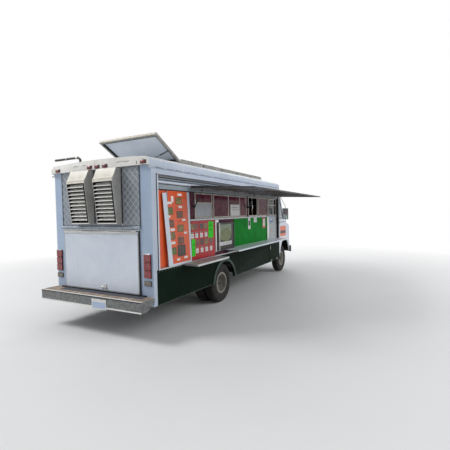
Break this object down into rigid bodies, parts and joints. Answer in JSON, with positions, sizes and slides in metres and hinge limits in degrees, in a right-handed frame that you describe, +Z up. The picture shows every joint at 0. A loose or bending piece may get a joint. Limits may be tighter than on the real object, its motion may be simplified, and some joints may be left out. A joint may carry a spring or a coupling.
{
  "type": "food truck",
  "caption": "Step-van food truck with a lift-up serving awning, twin rear vents, rear hatch, folding shelf, steering front wheels and a tilted roof panel.",
  "frame": {"origin": "on the ground, under the middle of the whole truck's plan box with the awning open", "axes": "+X forward, along the longest extent; +Y to the truck's left; +Z up, the axis of the tow ball's hole"},
  "size_m": [7.302, 3.808, 3.1688],
  "materials": {
    "white_paint": "aged white enamel on sheet aluminium",
    "green_paint": "dark green enamel",
    "black_paint": "satin black paint on steel",
    "stainless": "brushed stainless sheet",
    "galvanised": "weathered galvanised steel",
    "aluminium": "mill finish aluminium",
    "red_lens": "moulded red lenses",
    "orange_board": "printed orange board",
    "red_board": "printed boards",
    "maroon_wall": "maroon paint",
    "glass": "window glass",
    "rubber": "tyre rubber",
    "wheel_paint": "painted steel wheels",
    "chassis_paint": "chassis black",
    "engine_block": "plain casting",
    "cab_trim": "cab trim and seat",
    "gas_strut": "black gas strut",
    "floor_plate": "floor plate",
    "chrome": "polished trim"
  },
  "bodies": {
    "truck_body": {"roof": "white_paint", "rear_wall": "white_paint", "right_wall": "white_paint", "left_wall": "white_paint", "skirts": "green_paint", "floor": "floor_plate", "cab_shell": "white_paint", "grille": "black_paint", "lamps": "red_lens", "front_bumper": "black_paint", "chassis": "chassis_paint", "front_axle": "chassis_paint", "rear_axle": "chassis_paint", "engine": "engine_block", "tank_and_exhaust": "galvanised", "quilted_panel": "stainless", "rear_vents": "stainless", "rear_trim": "chrome", "rear_bumper": "galvanised", "bay_wall": "maroon_wall", "window_frames": "aluminium", "glazing": "glass", "menu_board": "orange_board", "counter_boards": "red_board", "bay_trim": "aluminium", "front_ledge": "white_paint", "locker_box": "aluminium", "kitchen_unit": "stainless", "cab_interior": "cab_trim", "mirrors": "black_paint", "roof_panels": "aluminium", "roof_pipe": "black_paint", "stay_bracket": "black_paint"},
    "awning": {"awning": "aluminium"},
    "strut_barrel_rear": {"strut_barrel_rear": "gas_strut"},
    "strut_rod_rear": {"strut_rod_rear": "gas_strut"},
    "strut_barrel_front": {"strut_barrel_front": "gas_strut"},
    "strut_rod_front": {"strut_rod_front": "gas_strut"},
    "rear_hatch": {"rear_hatch": "white_paint"},
    "shelf": {"shelf": "aluminium"},
    "locker_door": {"locker_door": "green_paint"},
    "driver_door": {"driver_door": "white_paint", "door_glass": "glass"},
    "hood": {"hood": "white_paint"},
    "tilt_panel": {"tilt_panel": "aluminium"},
    "stay_barrel": {"stay_barrel": "gas_strut"},
    "stay_rod": {"stay_rod": "gas_strut"},
    "knuckle_right": {"knuckle_right": "chassis_paint"},
    "knuckle_left": {"knuckle_left": "chassis_paint"},
    "front_wheel_right": {"front_tyre_right": "rubber", "front_rim_right": "wheel_paint"},
    "front_wheel_left": {"front_tyre_left": "rubber", "front_rim_left": "wheel_paint"},
    "rear_wheels_right": {"rear_tyres_right": "rubber", "rear_rims_right": "wheel_paint"},
    "rear_wheels_left": {"rear_tyres_left": "rubber", "rear_rims_left": "wheel_paint"}
  },
  "joints": [
    {"name": "awning_hinge", "type": "hinge", "parent": "truck_body", "child": "awning", "pos_m": [-0.029, -0.70403, 2.29], "axis": [1, 0, 0], "range_deg": [0, 87.5]},
    {"name": "strut_pivot_rear", "type": "hinge", "parent": "truck_body", "child": "strut_barrel_rear", "pos_m": [-2.159, -0.65003, 1.96], "axis": [1, 0, 0], "range_deg": [-28.82, 0.2]},
    {"name": "strut_slide_rear", "type": "slide", "parent": "strut_barrel_rear", "child": "strut_rod_rear", "axis": [0, -0.4945, 0.8692], "range_m": [-0.09289, 0.001]},
    {"name": "strut_pivot_front", "type": "hinge", "parent": "truck_body", "child": "strut_barrel_front", "pos_m": [0.181, -0.65003, 1.96], "axis": [1, 0, 0], "range_deg": [-28.82, 0.2]},
    {"name": "strut_slide_front", "type": "slide", "parent": "strut_barrel_front", "child": "strut_rod_front", "axis": [0, -0.4945, 0.8692], "range_m": [-0.09289, 0.001]},
    {"name": "rear_hatch_hinge", "type": "hinge", "parent": "truck_body", "child": "rear_hatch", "pos_m": [-3.385, 0.41397, 1.576], "axis": [0, 1, 0], "range_deg": [0, 88]},
    {"name": "shelf_hinge", "type": "hinge", "parent": "truck_body", "child": "shelf", "pos_m": [-2.054, -0.71403, 0.974], "axis": [1, 0, 0], "range_deg": [0, 88]},
    {"name": "locker_hinge", "type": "hinge", "parent": "truck_body", "child": "locker_door", "pos_m": [1.886, -0.68303, 0.4945], "axis": [1, 0, 0], "range_deg": [0, 95]},
    {"name": "driver_door_hinge", "type": "hinge", "parent": "truck_body", "child": "driver_door", "pos_m": [2.2485, 1.51097, 1.5], "axis": [0, 0, 1], "range_deg": [-70, 0]},
    {"name": "hood_hinge", "type": "hinge", "parent": "truck_body", "child": "hood", "pos_m": [2.887, 0.41397, 1.5619], "axis": [0, 1, 0], "range_deg": [-50, 0]},
    {"name": "panel_hinge", "type": "hinge", "parent": "truck_body", "child": "tilt_panel", "pos_m": [-2.209, 0.26897, 2.772], "axis": [0, 1, 0], "range_deg": [-28.9, 0]},
    {"name": "stay_pivot", "type": "hinge", "parent": "tilt_panel", "child": "stay_barrel", "pos_m": [-2.48026, -0.32403, 2.92212], "axis": [0, 1, 0], "range_deg": [-0.3, 48.04]},
    {"name": "stay_slide", "type": "slide", "parent": "stay_barrel", "child": "stay_rod", "axis": [-0.9093, 0, -0.4162], "range_m": [-0.07868, 0.001]},
    {"name": "steer_right", "type": "hinge", "parent": "truck_body", "child": "knuckle_right", "pos_m": [2.857, -0.37603, 0.4], "axis": [0, 0, 1], "range_deg": [-32, 32]},
    {"name": "front_wheel_spin_right", "type": "hinge", "parent": "knuckle_right", "child": "front_wheel_right", "pos_m": [2.857, -0.46603, 0.4], "axis": [0, 1, 0], "continuous": true},
    {"name": "rear_wheel_spin_right", "type": "hinge", "parent": "truck_body", "child": "rear_wheels_right", "pos_m": [-1.133, -0.38603, 0.4], "axis": [0, 1, 0], "continuous": true},
    {"name": "steer_left", "type": "hinge", "parent": "truck_body", "child": "knuckle_left", "pos_m": [2.857, 1.20397, 0.4], "axis": [0, 0, 1], "range_deg": [-32, 32]},
    {"name": "front_wheel_spin_left", "type": "hinge", "parent": "knuckle_left", "child": "front_wheel_left", "pos_m": [2.857, 1.29397, 0.4], "axis": [0, 1, 0], "continuous": true},
    {"name": "rear_wheel_spin_left", "type": "hinge", "parent": "truck_body", "child": "rear_wheels_left", "pos_m": [-1.133, 1.21397, 0.4], "axis": [0, 1, 0], "continuous": true}
  ],
  "couplings": [
    {"joint": "strut_pivot_rear", "follows": "awning_hinge", "ratio": -0.32706},
    {"joint": "strut_slide_rear", "follows": "awning_hinge", "m_per_rad": -0.060172},
    {"joint": "strut_pivot_front", "follows": "awning_hinge", "ratio": -0.32706},
    {"joint": "strut_slide_front", "follows": "awning_hinge", "m_per_rad": -0.060172},
    {"joint": "stay_pivot", "follows": "panel_hinge", "ratio": -1.6518},
    {"joint": "stay_slide", "follows": "panel_hinge", "m_per_rad": 0.15401},
    {"joint": "steer_left", "follows": "steer_right", "ratio": 1}
  ]
}
